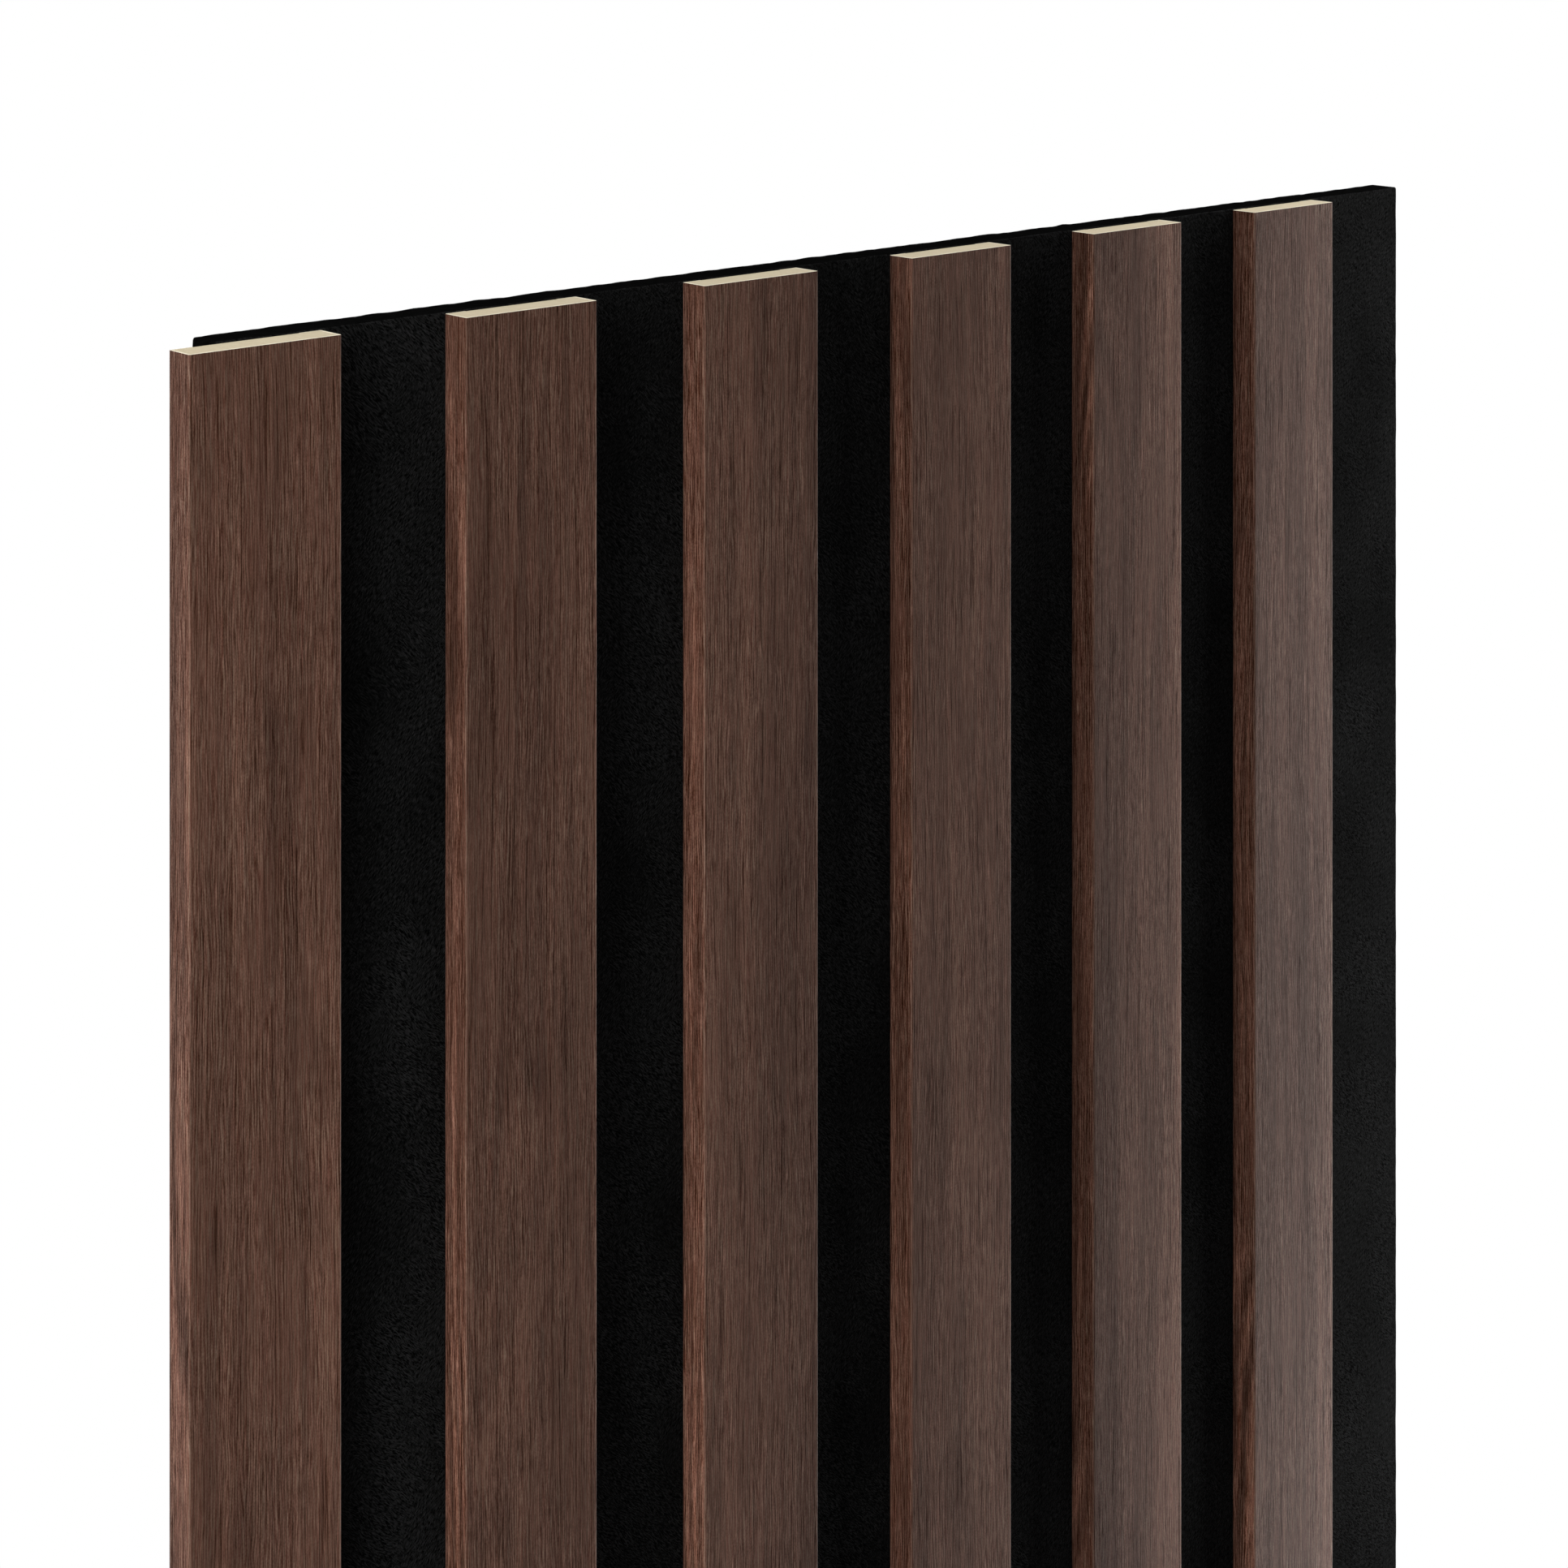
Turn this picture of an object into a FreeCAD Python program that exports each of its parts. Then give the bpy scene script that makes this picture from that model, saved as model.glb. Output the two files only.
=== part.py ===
"""Acoustic slat wall panel: wrapped slats glued in a row on a felt board.

Millimetres. X runs to the right as the panel is seen from the room, Y runs into the wall and Z runs up.
The origin is the middle of the felt's back face, which lies against the wall.
Each slat is a fibreboard core in a decor film. The film is folded round the front and both sides and its
lips are turned onto the back, so a strip of glue as thick as the film fills the pocket between the lips.
"""
import FreeCAD
import Part
import os

# Felt board
panel_length = 1200.0
felt_thickness = 6.3
felt_edge_round = 0.3

# Slats, numbered from the left as seen from the room
slat_count = 6
slat_pitch = 50.0
core_width = 26.2
core_thickness = 5.4
core_edge_round = 0.1
first_slat_overhang = 7.6

# Decor film and the glue behind it
film_thickness = 0.2
film_lip = 4.0
glue_side_gap = 0.3
glue_end_gap = 8.0

# One panel is a whole number of pitches wide, so panels set side by side carry the row on.
felt_width = slat_count * slat_pitch
slat_width = core_width + 2 * film_thickness
slat_thickness = core_thickness + 2 * film_thickness
pocket_width = slat_width - 2 * film_lip

# Places in the frame
felt_left = -felt_width / 2
felt_front = -felt_thickness
core_back = felt_front - film_thickness
first_slat_centre = felt_left - first_slat_overhang + slat_width / 2


def upright_block(centre_x, width, back_y, depth, end_gap=0.0):
    """A block that runs up the panel, from its back plane out towards the room, short of each end by a gap."""
    length = panel_length - 2 * end_gap
    corner = FreeCAD.Vector(centre_x - width / 2, back_y - depth, -length / 2)
    return Part.makeBox(width, depth, length, corner)


def rounded_block(centre_x, width, back_y, depth, edge_round):
    """An upright block with its four long edges rounded."""
    block = upright_block(centre_x, width, back_y, depth)
    long_edges = [edge for edge in block.Edges if edge.BoundBox.ZLength > panel_length / 2]
    return block.makeFillet(edge_round, long_edges)


def felt_backing():
    """The felt board. The cut presses its edges slightly round on every side."""
    board = upright_block(0.0, felt_width, 0.0, felt_thickness)
    return board.makeFillet(felt_edge_round, board.Edges)


def slat_core(centre_x):
    """A fibreboard strip with its long edges broken, so that the film doesn't crack over them."""
    return rounded_block(centre_x, core_width, core_back, core_thickness, core_edge_round)


def slat_film(centre_x):
    """The decor film: the slat's full section less the core, left open at the back between the lips."""
    outside = rounded_block(
        centre_x, slat_width, felt_front, slat_thickness, core_edge_round + film_thickness
    )
    pocket = upright_block(centre_x, pocket_width, felt_front, film_thickness)
    return outside.cut(slat_core(centre_x)).cut(pocket)


def glue_line(centre_x):
    """The glue strip between a core and the felt: clear of the film's lips, and only where felt lies behind."""
    left = max(centre_x - pocket_width / 2, felt_left + felt_edge_round) + glue_side_gap
    right = centre_x + pocket_width / 2 - glue_side_gap
    return upright_block((left + right) / 2, right - left, felt_front, film_thickness, glue_end_gap)


def save(name, shape):
    """Writes one solid as a node of the part."""
    shape.Solids[0].exportStep(os.path.join("parts", name + ".step"))


os.makedirs("parts", exist_ok=True)
save("felt_backing", felt_backing())
for place in range(slat_count):
    slat_centre = first_slat_centre + place * slat_pitch
    number = str(place + 1)
    save("slat_core_" + number, slat_core(slat_centre))
    save("slat_film_" + number, slat_film(slat_centre))
    save("glue_line_" + number, glue_line(slat_centre))
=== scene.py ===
"""Looks of the acoustic slat wall panel: walnut film, sawn fibreboard ends and black felt.

Metres, in the panel's own frame: X to the right as seen from the room, Y into the wall, Z up.
"""
import math
import bpy
import numpy as np
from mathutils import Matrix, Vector


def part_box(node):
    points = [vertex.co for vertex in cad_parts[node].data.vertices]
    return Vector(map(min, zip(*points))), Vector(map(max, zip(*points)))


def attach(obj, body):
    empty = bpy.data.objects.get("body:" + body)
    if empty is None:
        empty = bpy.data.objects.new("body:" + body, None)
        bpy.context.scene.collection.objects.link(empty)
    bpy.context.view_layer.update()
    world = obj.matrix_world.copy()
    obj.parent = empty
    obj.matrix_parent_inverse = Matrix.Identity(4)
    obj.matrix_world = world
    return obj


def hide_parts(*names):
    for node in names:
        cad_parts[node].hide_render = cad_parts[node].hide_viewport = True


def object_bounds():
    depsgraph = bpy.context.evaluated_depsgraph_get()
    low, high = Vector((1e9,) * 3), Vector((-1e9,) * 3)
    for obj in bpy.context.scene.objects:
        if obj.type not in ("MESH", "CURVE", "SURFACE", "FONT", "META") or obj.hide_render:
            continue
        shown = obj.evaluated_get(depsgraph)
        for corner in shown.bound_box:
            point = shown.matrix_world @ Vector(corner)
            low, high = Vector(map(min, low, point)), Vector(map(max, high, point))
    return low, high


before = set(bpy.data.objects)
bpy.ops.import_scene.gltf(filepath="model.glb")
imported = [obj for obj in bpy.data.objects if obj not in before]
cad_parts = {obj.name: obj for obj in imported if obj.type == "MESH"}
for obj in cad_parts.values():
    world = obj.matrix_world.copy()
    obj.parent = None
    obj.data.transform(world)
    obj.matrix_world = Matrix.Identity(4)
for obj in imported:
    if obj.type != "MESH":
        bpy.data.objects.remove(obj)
cad_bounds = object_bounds()

MM = 0.001
SEED = 7

# Slat section: the film's outer round and its lips, the steps of a round and the support point past it
FILM_ROUND = 0.30 * MM
FILM_LIP = 4.0 * MM
ROUND_STEPS = 6
EDGE_SUPPORT = 0.2 * MM

# Print: how far apart in the noise two slats lie. Painted sheen: how far each lightens from its middle to
# its right
PRINT_STEP = 13.7
PAINTED_SHEEN_LEAN = (0.04, 0.0, -0.09, 0.05, 0.19, 0.07)

# Print colours from dark to light, as display values, and how many times as light a figure of 1 makes them
RED_SHADES = ((42, 20, 11), (62, 37, 27), (82, 54, 44), (98, 69, 58), (116, 85, 73))
OLIVE_SHADES = ((38, 20, 11), (57, 38, 27), (76, 55, 44), (91, 71, 59), (108, 87, 74))
FIGURE_CONTRAST = 9.0

# Felt board: its pressed edges and corners, its outline's spacing, and loose fibres past the cut ends
FELT_ROUND = 0.3 * MM
FELT_ROUND_STEPS = 4
FELT_CORNER = 0.5 * MM
FELT_CORNER_STEPS = 4
FELT_STEP = 1.0 * MM
FELT_PROUD = 0.33 * MM

# Felt's cut: how far it wanders, its shortest and longest waves, the strongest, and how many at most
CUT_WANDER = 0.16 * MM
CUT_WAVES = (2.6 * MM, 60.0 * MM)
CUT_STRONGEST = (7.0 * MM, 18.0 * MM)
CUT_WAVE_COUNT = 40

# Edges are sharp past this angle, and felt turned less than this share to the room or the wall is cut edge
SHARP_ANGLE = math.radians(40)
CUT_FACING = 0.7

# Sheet that a slat's finish is baked on: strips side by side, their margins and the least width of a face
SHEET_STRIPS = 3
SHEET_MARGIN = 0.02
SHEET_LEAST = 0.2 * MM

# Rows of that sheet from its foot up: the sleeve, the bottom end and the top end
FILM_ROWS = ((0.0, 0.95), (0.955, 0.975), (0.98, 1.0))
CORE_ROWS = ((0.0, 0.55), (0.57, 0.77), (0.79, 0.99))

# Camera: where it stands, the way it faces, its lens, and its lens shift as a share of the frame's width
CAMERA_PLACE = Vector((-0.3725, -0.3780, 0.6726))
CAMERA_YAW = math.radians(42.33)
SENSOR = 36.0
LENS = 1.8002 * SENSOR
LENS_SHIFT = -0.5883

# Lights: the strips beside the panel, by name, place and power, and the size and aim that they share
STRIPS = (
    ("left_edge_strip", (-0.25, -0.07, 0.10), 1.25),
    ("left_strip", (-0.42, -0.14, 0.10), 1.90),
    ("right_edge_strip", (0.33, -0.05, 0.10), 2.75),
    ("right_strip", (0.33, -0.12, 0.10), 1.75),
)
STRIP_AIM = (0.0, 0.0, 0.10)
STRIP_WIDTH = 0.10
STRIP_HEIGHT = 1.6


def arc(centre, radius, start, end, steps):
    """Points on a round between two angles in degrees: the centre plus the radius along each angle."""
    angle = np.radians(np.linspace(start, end, steps + 1))
    return np.array(centre) + radius * np.stack([np.cos(angle), np.sin(angle)], 1)


def slat_line(low, high, edge_round, lip):
    """The line round a slat's section seen from above, from the end of one lip round the front to the next.

    Straight runs meet quarter rounds. A point a little way into each straight run lets the run shade flat.
    """
    s = EDGE_SUPPORT
    left, front, back = low.x, low.y, high.y
    half = np.concatenate([
        [[left + lip, back], [left + edge_round + s, back]],
        arc((left + edge_round, back - edge_round), edge_round, 90, 180, ROUND_STEPS),
        [[left, back - edge_round - s], [left, front + edge_round + s]],
        arc((left + edge_round, front + edge_round), edge_round, 180, 270, ROUND_STEPS),
        [[left + edge_round + s, front]],
    ])
    mirrored = np.stack([low.x + high.x - half[::-1, 0], half[::-1, 1]], 1)
    return np.concatenate([half, mirrored])


def steps_along(line):
    """The distance from each point of a line to the next."""
    return np.linalg.norm(np.diff(line, axis=0), axis=1)


def running(steps):
    """How far along each point is, from the steps between them."""
    return np.concatenate([[0.0], np.cumsum(steps)])


def at_heights(line, heights):
    """A section's points repeated at each height."""
    level = np.broadcast_to(line[None], (len(heights),) + line.shape)
    rise = np.broadcast_to(heights[:, None, None], (len(heights), len(line), 1))
    return np.concatenate([level, rise], 2).reshape(-1, 3)


def closed(grid):
    """A grid of point numbers whose rows come round to their first point again."""
    return np.concatenate([grid, grid[:, :1]], 1)


def quads(grid):
    """Faces between neighbours in a grid of point numbers."""
    return np.stack([grid[:-1, :-1], grid[:-1, 1:], grid[1:, 1:], grid[1:, :-1]], -1).reshape(-1, 4)


def sheet(widths, strips, low, high):
    """Corners of a grid's faces on a flat sheet: a strip for each row of faces, side by side.

    The place across a strip is the running width as a share of the whole, inside a margin. A strip stands
    between two heights.
    """
    place = running(widths)
    place = SHEET_MARGIN + (1 - 2 * SHEET_MARGIN) * place / place[-1]
    across = np.stack([place[:-1], place[1:], place[1:], place[:-1]], 1)
    across = (np.arange(strips)[:, None, None] + across[None]) / strips
    up = np.broadcast_to([low, low, high, high], across.shape)
    return np.stack([across, up], -1).reshape(-1, 2)


def on_row(share, row):
    """Places from 0 to 1 laid over a row of the flat sheet: their share of its height, above its foot."""
    low, high = row
    return share * (1.0, high - low) + (0.0, low)


def make_piece(name, points, faces, node):
    """A mesh piece that rides on the panel in a CAD node's place, with sharp edges where faces turn."""
    mesh = bpy.data.meshes.new(name)
    mesh.from_pydata(points.tolist(), [], [list(face) for face in faces])
    mesh.shade_smooth()
    mesh.set_sharp_from_angle(angle=SHARP_ANGLE)
    piece = bpy.data.objects.new(name, mesh)
    bpy.context.scene.collection.objects.link(piece)
    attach(piece, "root")
    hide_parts(node)
    return piece


def put_map(piece, name, corners):
    """A UV map from one place per face corner."""
    layer = piece.data.uv_layers.new(name=name)
    layer.uv.foreach_set("vector", np.ascontiguousarray(corners, np.float32).ravel())


def film_piece(number):
    """The film of one slat: its outer line and the core's line inside it, joined at the lips.

    Both lines are carried up the panel, and the gap between them is closed at each end. One map gives the
    place on the unfolded film, across from its middle and along; the other lays the sleeve on the bake
    sheet, with the two ends in rows above it.
    """
    low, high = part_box(f"slat_film_{number}")
    core_low, core_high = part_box(f"slat_core_{number}")
    thickness = high.y - core_high.y
    outer = slat_line(low, high, FILM_ROUND, FILM_LIP)
    inner = slat_line(core_low, core_high, FILM_ROUND - thickness, FILM_LIP - thickness)
    heights = np.linspace(low.z, high.z, SHEET_STRIPS + 1)
    count, rows = len(outer), len(heights)
    points = np.concatenate([at_heights(outer, heights), at_heights(inner, heights)])
    outside = np.arange(count * rows).reshape(rows, count)
    inside = outside + count * rows
    sleeve = closed(np.concatenate([outside, inside[:, ::-1]], 1))
    ends = np.concatenate([
        quads(np.stack([inside[0], outside[0]])),
        quads(np.stack([outside[-1], inside[-1]])),
    ])
    faces = np.concatenate([quads(sleeve), ends])
    piece = make_piece(f"walnut_film_{number}", points, faces, f"slat_film_{number}")
    steps = steps_along(outer)
    across = np.tile(running(steps) - steps.sum() / 2, 2 * rows)
    put_map(piece, "film_place", np.stack([across, points[:, 2]], 1)[faces])
    least = np.full(count + 1, SHEET_LEAST)
    sleeve_row, bottom_row, top_row = FILM_ROWS
    put_map(piece, "OFBake", np.concatenate([
        sheet(np.concatenate([np.maximum(steps, SHEET_LEAST), least]), SHEET_STRIPS, *sleeve_row),
        sheet(least[2:], 1, *bottom_row),
        sheet(least[2:], 1, *top_row),
    ]))
    end_faces = np.zeros(len(faces), np.int32)
    end_faces[-len(ends):] = 1
    return piece, end_faces


def core_piece(number):
    """The core of one slat: its closed section carried up the panel, with a face across each end.

    One map gives the place on the section from its middle; the other lays the sleeve on the lower part of
    the bake sheet and the two ends, much enlarged, above it.
    """
    low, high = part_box(f"slat_core_{number}")
    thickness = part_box(f"slat_film_{number}")[1].y - high.y
    line = slat_line(low, high, FILM_ROUND - thickness, FILM_LIP - thickness)
    heights = np.linspace(low.z, high.z, SHEET_STRIPS + 1)
    points = at_heights(line, heights)
    place = np.arange(len(points)).reshape(len(heights), len(line))
    sleeve, bottom, top = quads(closed(place)), place[0, ::-1], place[-1]
    faces = [*sleeve, bottom, top]
    piece = make_piece(f"fibreboard_core_{number}", points, faces, f"slat_core_{number}")
    middle = np.array([(low.x + high.x) / 2, (low.y + high.y) / 2])
    section = points[:, :2] - middle
    put_map(piece, "end_place", section[np.concatenate([sleeve.ravel(), bottom, top])])
    share = section / (high - low).xy + 0.5
    sleeve_row, bottom_row, top_row = CORE_ROWS
    put_map(piece, "OFBake", np.concatenate([
        sheet(np.maximum(steps_along(closed(line.T).T), SHEET_LEAST), SHEET_STRIPS, *sleeve_row),
        on_row(share[bottom], bottom_row),
        on_row(share[top], top_row),
    ]))
    return piece


def board_outline(low, high, corner, step):
    """Points round a board seen from the room and the way out at each: corner rounds and straight sides."""
    right, left, top, bottom = high.x - corner, low.x + corner, high.z - corner, low.z + corner
    turns = [(right, bottom, -90), (right, top, 0), (left, top, 90), (left, bottom, 180)]
    places, ways = [], []
    for (x, z, start), (next_x, next_z, _) in zip(turns, turns[1:] + turns[:1]):
        way = arc((0.0, 0.0), 1.0, start, start + 90, FELT_CORNER_STEPS)
        length = math.dist((x, z), (next_x, next_z))
        share = np.linspace(0, 1, round(length / step) + 1)[1:-1, None]
        side = np.array([x, z]) * (1 - share) + np.array([next_x, next_z]) * share
        places += [np.array([x, z]) + corner * way, side + corner * way[-1]]
        ways += [way, np.broadcast_to(way[-1], side.shape)]
    return np.concatenate(places), np.concatenate(ways)


def wander(distance, length, rng):
    """A wander round a closed line, up to 1: a sum of sines of whole waves, short and long ones weaker."""
    wave = length / np.unique(np.round(length / np.geomspace(*CUT_WAVES, CUT_WAVE_COUNT)))
    short, long = CUT_STRONGEST
    weight = np.minimum(wave / short, 1.0) * np.minimum((long / wave) ** 0.5, 1.0)
    weight = weight * rng.uniform(0.3, 1.0, len(wave))
    phase = rng.uniform(0, 2 * np.pi, len(wave))
    total = (np.sin(2 * np.pi * distance[:, None] / wave + phase) * weight).sum(1)
    return total / np.abs(total).max()


def felt_piece():
    """The felt board: a pressed edge profile, a quarter round at front and back, carried round its outline.

    Each arris wanders by a sum of sines of the distance round the board, and the cut between them goes from
    the one to the other, so that an edge isn't quite straight. Two faces close the board.
    """
    low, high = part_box("felt_backing")
    low.z -= FELT_PROUD
    high.z += FELT_PROUD
    place, way = board_outline(low, high, FELT_CORNER, FELT_STEP)
    steps = steps_along(np.concatenate([place, place[:1]]))
    rng = np.random.default_rng(SEED)
    front, back = (wander(running(steps)[:-1], steps.sum(), rng) for _ in range(2))
    r, flat = FELT_ROUND, FELT_ROUND + EDGE_SUPPORT
    turn = np.radians(np.linspace(0, 90, FELT_ROUND_STEPS + 1))
    inset = np.concatenate([[flat], r - r * np.sin(turn)])
    depth = np.concatenate([[0.0], r - r * np.cos(turn)])
    inset = np.concatenate([inset, inset[::-1]])[:, None]
    depth = np.concatenate([low.y + depth, (high.y - depth)[::-1]])[:, None]
    share = (depth - low.y) / (high.y - low.y)
    drift = CUT_WANDER * (front * (1 - share) + back * share)
    out = drift * np.clip(1 - inset / flat, 0, 1) - inset
    moved = place + out[..., None] * way
    points = np.stack([moved[..., 0], np.broadcast_to(depth, out.shape), moved[..., 1]], -1).reshape(-1, 3)
    number = np.arange(out.size).reshape(out.shape)
    faces = [*quads(closed(number))[:, ::-1], number[0], number[-1, ::-1]]
    return make_piece("felt_board", points, faces, "felt_backing")


class Value:
    """An output in a material's nodes. Sums, products and the like of these add Math nodes."""

    def __init__(self, finish, socket):
        self.finish = finish
        self.socket = socket

    def math(self, operation, one, other=0.0):
        return self.finish.add("Math", {"operation": operation}, {0: one, 1: other})

    def __add__(self, other):
        return self.math("ADD", self, other)

    def __radd__(self, other):
        return self.math("ADD", other, self)

    def __sub__(self, other):
        return self.math("SUBTRACT", self, other)

    def __rsub__(self, other):
        return self.math("SUBTRACT", other, self)

    def __mul__(self, other):
        return self.math("MULTIPLY", self, other)

    def __rmul__(self, other):
        return self.math("MULTIPLY", other, self)

    def __truediv__(self, other):
        return self.math("DIVIDE", self, other)

    def __rtruediv__(self, other):
        return self.math("DIVIDE", other, self)

    def __pow__(self, other):
        return self.math("POWER", self, other)

    def __rpow__(self, other):
        return self.math("POWER", other, self)

    def size(self):
        return self.math("ABSOLUTE", self)

    def sine(self):
        return self.math("SINE", self)

    def at_least(self, other):
        return self.math("MAXIMUM", self, other)


class Finish:
    """One material being made."""

    def __init__(self, name, tree=None):
        self.material = None
        if tree is None:
            self.material = bpy.data.materials.new(name)
            self.material.use_nodes = True
            tree = self.material.node_tree
        self.tree = tree
        self.tree.nodes.clear()

    def add(self, kind, settings=None, sockets=None, output=0):
        """Adds a node: its settings first, a ramp's stops among them, then its sockets' values or links."""
        node = self.tree.nodes.new("ShaderNode" + kind)
        for key, value in (settings or {}).items():
            if key == "stops":
                ramp = node.color_ramp.elements
                while len(ramp) < len(value):
                    ramp.new(1.0)
                for stop, (position, shade) in zip(ramp, value):
                    stop.position = position
                    stop.color = shade
            else:
                setattr(node, key, value)
        for key, value in (sockets or {}).items():
            if isinstance(value, Value):
                self.tree.links.new(value.socket, node.inputs[key])
            else:
                node.inputs[key].default_value = value
        return Value(self, node.outputs[output]) if len(node.outputs) else None

    def outputs(self, kind, names, settings=None, sockets=None):
        """Adds a node and gives the outputs that are named."""
        node = self.add(kind, settings, sockets).socket.node
        return [Value(self, node.outputs[name]) for name in names]

    def place(self, axes, uv_map=None):
        """The place on the object along each axis, or across and along a UV map, in millimetres."""
        if uv_map:
            spot = self.add("UVMap", {"uv_map": uv_map})
        else:
            spot = self.add("TexCoord", None, None, "Object")
        return [axis / MM for axis in self.outputs("SeparateXYZ", axes, None, {0: spot})]

    def noise(self, x, y, z, detail=1.0, roughness=0.5):
        """Noise over three numbers, which are in cells of the noise."""
        cell = self.add("CombineXYZ", None, {0: x, 1: y, 2: z})
        sockets = {"Vector": cell, "Scale": 1.0, "Detail": detail, "Roughness": roughness}
        return self.add("TexNoise", None, sockets)

    def step(self, value, low, high):
        """0 below one value, 1 above another and smooth between."""
        return self.add(
            "MapRange", {"interpolation_type": "SMOOTHSTEP"},
            {"Value": value, "From Min": low, "From Max": high, "To Min": 0.0, "To Max": 1.0},
        )

    def mix(self, share, one, other):
        """One colour going over to another."""
        return self.add("Mix", {"data_type": "RGBA"}, {0: share, 6: one, 7: other}, 2)

    def shade(self, paint, level):
        """A colour made darker or lighter by a level."""
        settings = {"data_type": "RGBA", "blend_type": "MULTIPLY"}
        return self.add("Mix", settings, {0: 1.0, 6: paint, 7: level}, 2)

    def ramp(self, tone, *shades):
        """A colour for each tone from 0 to 1, by way of shades spaced evenly."""
        return self.add("ValToRGB", {"stops": list(zip(np.linspace(0, 1, len(shades)), shades))}, {0: tone})

    def bump(self, height, strength, distance):
        """The normal of a surface with small heights of its own."""
        return self.add("Bump", None, {"Strength": strength, "Distance": distance, "Height": height})

    def surface(self, **sockets):
        """The shader that the material shows."""
        named = {key.replace("_", " "): value for key, value in sockets.items()}
        shader = self.add("BsdfPrincipled", None, named)
        self.add("OutputMaterial", None, {"Surface": shader})
        return self.material


def colour(red, green, blue):
    """A colour from its display values of 0 to 255."""
    share = np.array([red, green, blue]) / 255
    linear = np.where(share <= 0.04045, share / 12.92, ((share + 0.055) / 1.055) ** 2.4)
    return (*linear.tolist(), 1.0)


def walnut(number):
    """Printed walnut decor, by the place on the unfolded film: u across from its middle and v along.

    Two sets of fine lines, sines of the place across with a phase that wanders, fade into one another.
    With dashes, specks and pores they make the tone, lighter along the folds by a painted highlight.
    A redder and an olive ramp of the tone are mixed by a hue of streaks. Streaks of three widths, rings in
    patches and smears make the figure, and a painted sheen grades each slat from side to side; the colour
    is multiplied by the contrast raised to it. A thin gloss goes with tone and figure.
    """
    make = Finish(f"walnut_decor_{number}")
    u, v = make.place("XY", "film_place")
    low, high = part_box(f"slat_film_{number}")
    fold = ((high.x - low.x) / 2 - FILM_ROUND + FILM_ROUND * math.pi / 4) / MM
    layers = iter(np.arange(number * PRINT_STEP, 1000.0, 4.7))

    def streaks(across, width, length, detail=1.0, roughness=0.5):
        """Noise about zero in cells of a width across the grain and a length along it."""
        return make.noise(across / width, v / length, next(layers), detail, roughness) - 0.5

    def lines(spacing, width, length):
        """Lines at a spacing whose phase wanders by 16 radians in cells of a width and a length."""
        return (x * (2 * math.pi / spacing) + streaks(x, width, length) * 16.0).sine()

    side = make.step(u.size(), fold, fold + 0.3)
    # Painted highlight: the tone is made lighter along each fold between the front and a side
    painted_fold_highlight = 1 - make.step((u.size() - fold).size(), 0.10, 0.40)
    x = u + streaks(u, 50.0, 140.0) * 5.0 + streaks(u, 3.3, 22.0) * 0.60
    fading = make.step(streaks(x, 0.62, 3.6), -0.18, 0.18)
    narrow = lines(0.47, 0.91, 11.0) * (0.20 + fading)
    wide = lines(0.55, 1.1, 9.0) * (1.20 - fading)
    dashes = streaks(x, 0.19, 2.2, 0.0)
    specks = streaks(x, 0.167, 0.385, 1.0, 0.6)
    calm = make.step(streaks(x, 6.2, 25.0), -0.08, 0.18)
    fine = streaks(x, 0.53, 10.0, 1.0, 0.6)
    medium = streaks(x, 1.33, 71.0, 2.0, 0.55)
    broad = streaks(x, 7.7, 125.0)
    rings = (streaks(x, 20.0, 165.0) * 90.0 + x * 0.5).sine()
    ringed = make.step(streaks(x, 20.0, 100.0), -0.02, 0.16)
    pores = make.step(streaks(x, 0.33, 24.0, 0.0), 0.15, 0.21)
    smear = make.step(streaks(x, 4.5, 29.0, 2.0), 0.10, 0.28)
    # Painted sheen: each slat's colour grades across its width, lighter toward the right on most slats,
    # like glare from a light at the right
    painted_sheen = u * (PAINTED_SHEEN_LEAN[number - 1] / fold)
    grain = narrow * 0.23 + wide * 0.17 + dashes * 0.60 + specks * 0.62
    tone = 0.5 + grain * (1.0 - calm * 0.40 + side * 0.35) - pores * 0.26 + painted_fold_highlight * 0.16
    figure = painted_sheen * (1.0 - side * 0.4) + broad * 0.38 + medium * (0.36 + side * 0.3) - smear * 0.12
    figure = figure + rings * ringed * (0.06 + side * 0.12) + fine * (0.26 + side * 0.2)
    red = make.ramp(tone, *(colour(*shade) for shade in RED_SHADES))
    olive = make.ramp(tone, *(colour(*shade) for shade in OLIVE_SHADES))
    hue = wide * 0.15 + streaks(x, 0.28, 12.0) * 0.45 + streaks(x, 2.5, 83.0) * 0.10 - side * 0.10
    paint = make.mix(make.step(hue, -0.20, 0.20), red, olive)
    gloss = ((tone + figure) * 0.6 + 0.38) * (1.0 - side * 0.4)
    return make.surface(
        Base_Color=make.shade(paint, FIGURE_CONTRAST ** figure), Roughness=0.5, Specular_IOR_Level=0.0,
        Coat_Weight=gloss, Coat_Roughness=0.40, Coat_IOR=1.18,
        Normal=make.bump(narrow * 0.1 + fine * 0.5 - pores, 0.25, 0.04 * MM),
    )


def film_edge():
    """The film's cut edge: the pale base under the print, faintly speckled."""
    make = Finish("film_cut_edge")
    x, y = make.place("XY")
    speck = make.step(make.noise(x * 2.0, y * 2.0, 0.7, 2.0), 0.3, 0.7)
    paint = make.mix(speck, colour(222, 212, 188), colour(236, 227, 206))
    return make.surface(Base_Color=paint, Roughness=0.55, Specular_IOR_Level=0.3)


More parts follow.
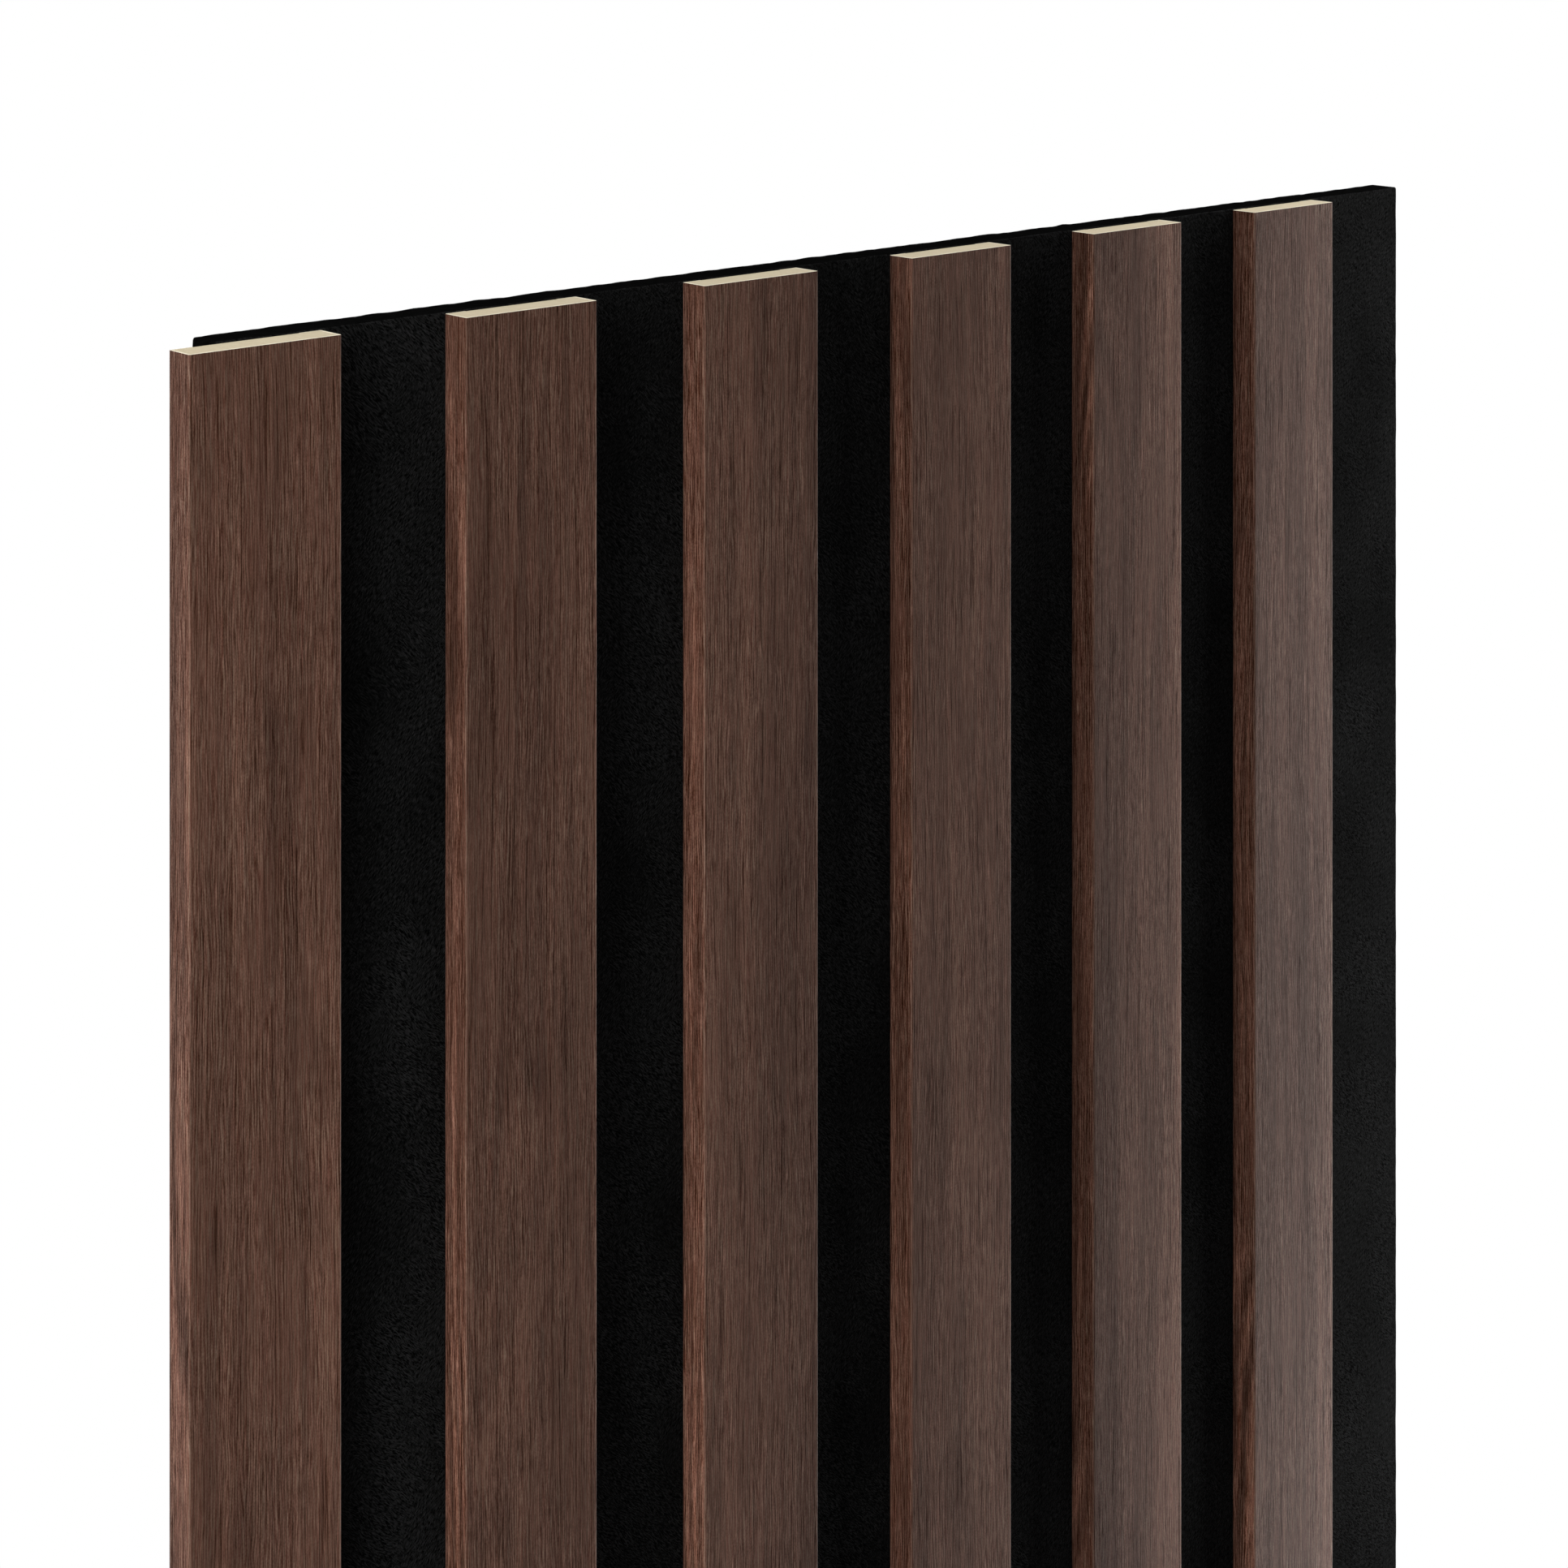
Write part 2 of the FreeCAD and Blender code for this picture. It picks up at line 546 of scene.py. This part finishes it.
def fibreboard():
    """Sawn fibreboard: pale pressed fibres, fine darker flecks and a painted edge highlight, a paler rim.
    """
    make = Finish("sawn_fibreboard")
    x, y, z = make.place("XYZ")
    across, inward = make.place("XY", "end_place")
    low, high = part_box("slat_core_1")
    reach, depth = (high.x - low.x) / 2 / MM, (high.y - low.y) / 2 / MM
    fibre = make.noise(x * 1.6, y * 4.0, z * 1.6, 3.0, 0.65)
    fleck = make.step(make.noise(x * 2.6, y * 4.2, z * 2.6), 0.64, 0.76)
    cloud = make.noise(x * 0.16, y * 0.5, z * 0.16, 2.0)
    tone = fibre * 0.9 + cloud * 0.5 - 0.2
    # Painted highlight: the end is made paler within these millimetres of its front and side edges
    highlight_start, highlight_full = 0.45, 0.15
    sides = make.step(across.size(), reach - highlight_start, reach - highlight_full)
    front = make.step(-1.0 * inward, depth - highlight_start, depth - highlight_full)
    paint = make.mix(tone, colour(181, 168, 140), colour(205, 193, 166))
    paint = make.mix(fleck * 0.35, paint, colour(152, 134, 105))
    paint = make.mix(sides.at_least(front) * 0.9, paint, colour(226, 215, 192))
    return make.surface(
        Base_Color=paint, Roughness=0.80 + fibre * 0.1, Specular_IOR_Level=0.25,
        Normal=make.bump(fibre, 0.35, 0.06 * MM),
    )


def felt(name, dark, light, gloss):
    """Black needled felt: fibres in patches of two directions under a fuzz, from a dark level to a light.

    The fibres are noise stretched along a direction, which a slow noise curls, and clouds lighten them.
    """
    make = Finish(name)
    x, y, z = make.place("XYZ")
    curl = make.noise(x * 0.22, y * 0.22, z * 0.22, 0.0) * 1.1
    ways = []
    for turn, layer in ((-45, 2.3), (38, 6.1)):
        sine, cosine = math.sin(math.radians(turn)), math.cos(math.radians(turn))
        along = x * sine + z * cosine + y * 0.6
        over = x * cosine - z * sine + y * 0.8 + curl
        ways.append(make.noise(over * 12.0, along * 1.1, layer, 1.0, 0.7))
    patch = make.step(make.noise(x * 0.075, y * 0.075, z * 0.060, 2.0), 0.40, 0.60)
    lying = ways[0] + (ways[1] - ways[0]) * patch
    fuzz = make.noise(x * 11.0, y * 11.0, z * 11.0, 0.0)
    fibres = lying * 0.80 + fuzz * 0.20
    cloud = make.noise(x * 0.05, y * 0.05 + 4.0, z * 0.035, 2.0)
    mottle = make.noise(x * 0.6, y * 0.6, z * 0.6, 0.0)
    level = make.step(fibres, 0.43, 0.64) * (cloud * 1.7 + mottle * 0.10 + 0.14)
    return make.surface(
        Base_Color=make.mix(level, (dark, dark, dark, 1.0), (light, light, light, 1.0)), Roughness=0.5,
        Specular_IOR_Level=gloss, Normal=make.bump(fibres, 1.0, 0.025 * MM),
    )


def glue():
    """Dried contact glue: amber with a faint brushed mottle."""
    make = Finish("dried_glue")
    x, z = make.place("XZ")
    brushed = make.noise(x * 0.9, z * 0.12, 1.3, 3.0)
    paint = make.mix(brushed, colour(168, 142, 92), colour(206, 184, 136))
    return make.surface(
        Base_Color=paint, Roughness=0.5 + brushed * 0.1,
        Normal=make.bump(brushed, 0.4, 0.1 * MM),
    )


core_nodes = [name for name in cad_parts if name.startswith("slat_core_")]
slat_numbers = sorted(int(name.rsplit("_", 1)[1]) for name in core_nodes)
edge_finish = film_edge()
core_finish = fibreboard()
glue_finish = glue()
for number in slat_numbers:
    film, end_faces = film_piece(number)
    film.data.materials.append(walnut(number))
    film.data.materials.append(edge_finish)
    film.data.polygons.foreach_set("material_index", end_faces)
    core_piece(number).data.materials.append(core_finish)
    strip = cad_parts[f"glue_line_{number}"]
    strip.data.materials.clear()
    strip.data.materials.append(glue_finish)
board = felt_piece()
board.data.materials.append(felt("black_felt", 0.0008, 0.0208, 0.001))
board.data.materials.append(felt("felt_cut_edge", 0.0015, 0.0045, 0.0))
facing = np.empty(len(board.data.polygons) * 3)
board.data.polygons.foreach_get("normal", facing)
cut_edge = np.abs(facing[1::3]) < CUT_FACING
board.data.polygons.foreach_set("material_index", cut_edge.astype(np.int32))


def looked_at(make):
    """1 for a ray that comes straight from the camera, a gloss or a glass, and 0 for other light."""
    names = ("Is Camera Ray", "Is Glossy Ray", "Is Transmission Ray")
    seen, gloss, glass = make.outputs("LightPath", names)
    return seen.at_least(gloss).at_least(glass)


def studio_floor():
    """A pale disc under the panel that thins out to the white round it and keeps the panel's shadow."""
    radius, spokes, glow = 1.45, 96, 0.62
    level = cad_bounds[0].z - 1.0 * MM
    points = at_heights(arc((0.0, 0.0), radius, 0, 360, spokes)[:-1], np.array([level]))
    mesh = bpy.data.meshes.new("studio_floor")
    mesh.from_pydata(points.tolist(), [], [list(range(spokes))])
    floor = bpy.data.objects.new("studio_floor", mesh)
    bpy.context.scene.collection.objects.link(floor)
    make = Finish("pale_floor")
    spot = make.add("TexCoord", None, None, "Object")
    flat = make.add("VectorMath", {"operation": "MULTIPLY"}, {0: spot, 1: (1.0, 1.0, 0.0)})
    far = make.add("VectorMath", {"operation": "LENGTH"}, {0: flat}, "Value")
    shade = make.add("BsdfDiffuse", None, {"Color": (0.82, 0.82, 0.82, 1.0)})
    pale = make.add("Emission", None, {"Color": (1.0, 1.0, 1.0, 1.0), "Strength": looked_at(make) * glow})
    laid = make.add("AddShader", None, {0: shade, 1: pale})
    clear = make.add("BsdfTransparent")
    thin = make.step(far, 0.45 * radius, 0.98 * radius)
    both = make.add("MixShader", None, {0: thin, 1: laid, 2: clear})
    make.add("OutputMaterial", None, {"Surface": both})
    mesh.materials.append(make.material)
    return floor


def studio_world(level):
    """White where the camera, a gloss or a glass looks at it, and an even level of light otherwise."""
    world = bpy.data.worlds.new("studio")
    world.use_nodes = True
    bpy.context.scene.world = world
    make = Finish("studio", world.node_tree)
    light = make.add("Background", None, {"Color": (1.0, 1.0, 1.0, 1.0), "Strength": level})
    white = make.add("Background", None, {"Color": (1.0, 1.0, 1.0, 1.0), "Strength": 1.0})
    both = make.add("MixShader", None, {0: looked_at(make), 1: light, 2: white})
    make.add("OutputWorld", None, {"Surface": both})


def flag(floor):
    """A flag that keeps a light off the floor."""
    shaded = bpy.data.collections.new("flag")
    shaded.objects.link(floor)
    shaded.collection_objects[0].light_linking.link_state = "EXCLUDE"
    return shaded


def softbox(name, place, aim, width, height, power, kept_off=None):
    """A rectangular soft light at a place, facing an aim, unseen by the camera, with or without a flag."""
    data = bpy.data.lights.new(name, "AREA")
    data.shape = "RECTANGLE"
    data.size = width
    data.size_y = height
    data.energy = power
    lamp = bpy.data.objects.new(name, data)
    lamp.location = place
    lamp.rotation_mode = "QUATERNION"
    lamp.rotation_quaternion = (Vector(aim) - Vector(place)).to_track_quat("-Z", "Y")
    lamp.visible_camera = False
    lamp.light_linking.receiver_collection = kept_off
    bpy.context.scene.collection.objects.link(lamp)


def level_camera():
    """A view camera that stands level, with its lens shifted down, so that upright edges stay upright."""
    data = bpy.data.cameras.new("camera")
    data.sensor_width = SENSOR
    data.lens = LENS
    data.shift_y = LENS_SHIFT
    data.clip_start = 0.02
    camera = bpy.data.objects.new("camera", data)
    camera.location = CAMERA_PLACE
    camera.rotation_euler = (math.pi / 2, 0.0, -CAMERA_YAW)
    bpy.context.scene.collection.objects.link(camera)
    bpy.context.scene.camera = camera


floor_flag = flag(studio_floor())
studio_world(0.18)
for name, place, power in STRIPS:
    softbox(name, place, STRIP_AIM, STRIP_WIDTH, STRIP_HEIGHT, power, floor_flag)
softbox("top_softbox", (0.0, -0.10, 1.70), (0.0, 0.0, 0.45), 0.8, 0.8, 7.0)
softbox("back_softbox", (0.0, 0.90, 0.00), (0.0, 0.0, 0.00), 0.8, 1.0, 4.8, floor_flag)
level_camera()
bpy.context.scene.view_settings.view_transform = "Standard"
